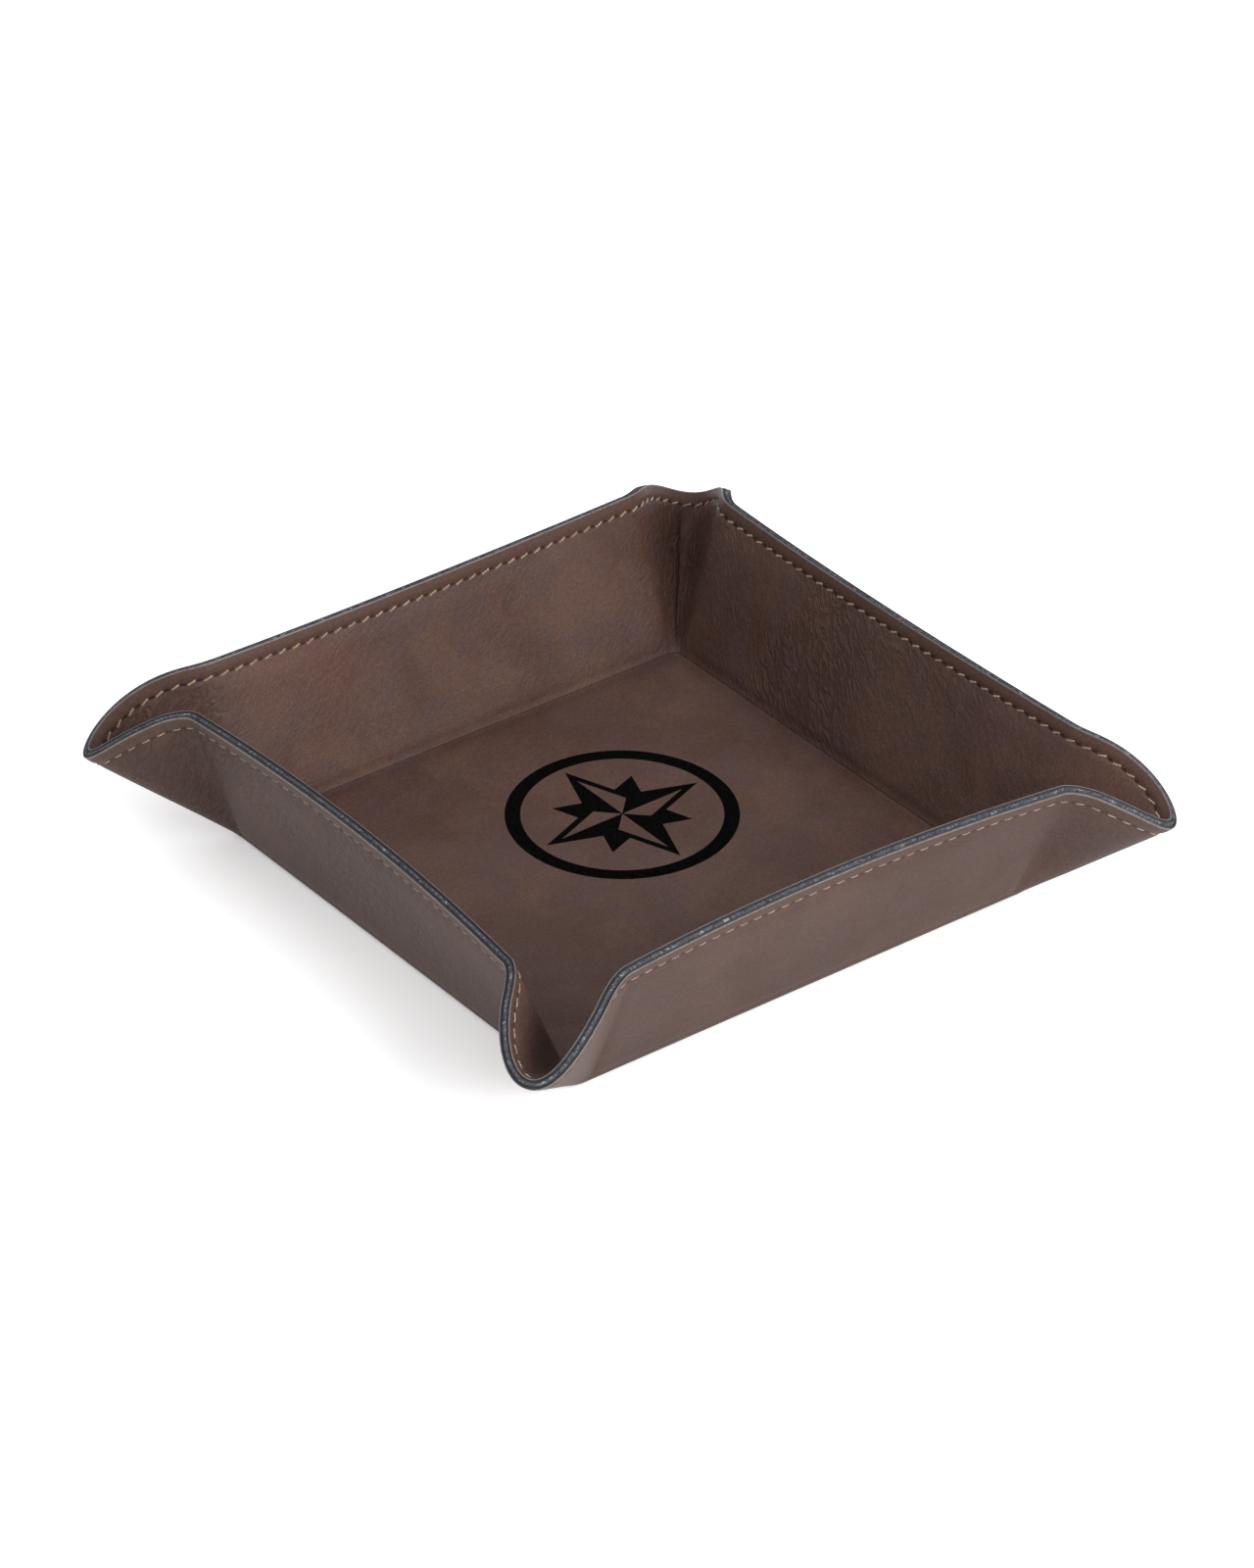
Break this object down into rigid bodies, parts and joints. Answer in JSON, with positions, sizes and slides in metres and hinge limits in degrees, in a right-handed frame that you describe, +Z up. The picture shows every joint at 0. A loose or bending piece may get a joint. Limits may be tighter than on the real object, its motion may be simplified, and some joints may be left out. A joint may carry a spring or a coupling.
{
  "type": "valet tray",
  "caption": "Square catch-all tray formed from a sewn, board-stiffened leatherette sheet, with leaning walls and corners opened outwards as pouring spouts.",
  "frame": {"origin": "centre of the flat underside, on the surface the tray rests on", "axes": "+Z up out of the tray; +X and +Y square to the right and back walls, so the corners lie on the diagonals"},
  "size_m": [0.1987, 0.1979, 0.0433],
  "materials": {
    "leatherette": "semi-matte fine drawn grain, dark brown",
    "filler": "pressed fibre, speckled blue-grey at the cut edge",
    "board": "plain grey board",
    "thread": "twisted polyester thread, tan"
  },
  "bodies": {
    "root": {"inner_skin": "leatherette", "outer_skin": "leatherette", "edge_filler": "filler", "base_board": "board", "back_board": "board", "left_board": "board", "front_board": "board", "right_board": "board", "inner_stitching": "thread", "outer_stitching": "thread"}
  },
  "joints": []
}
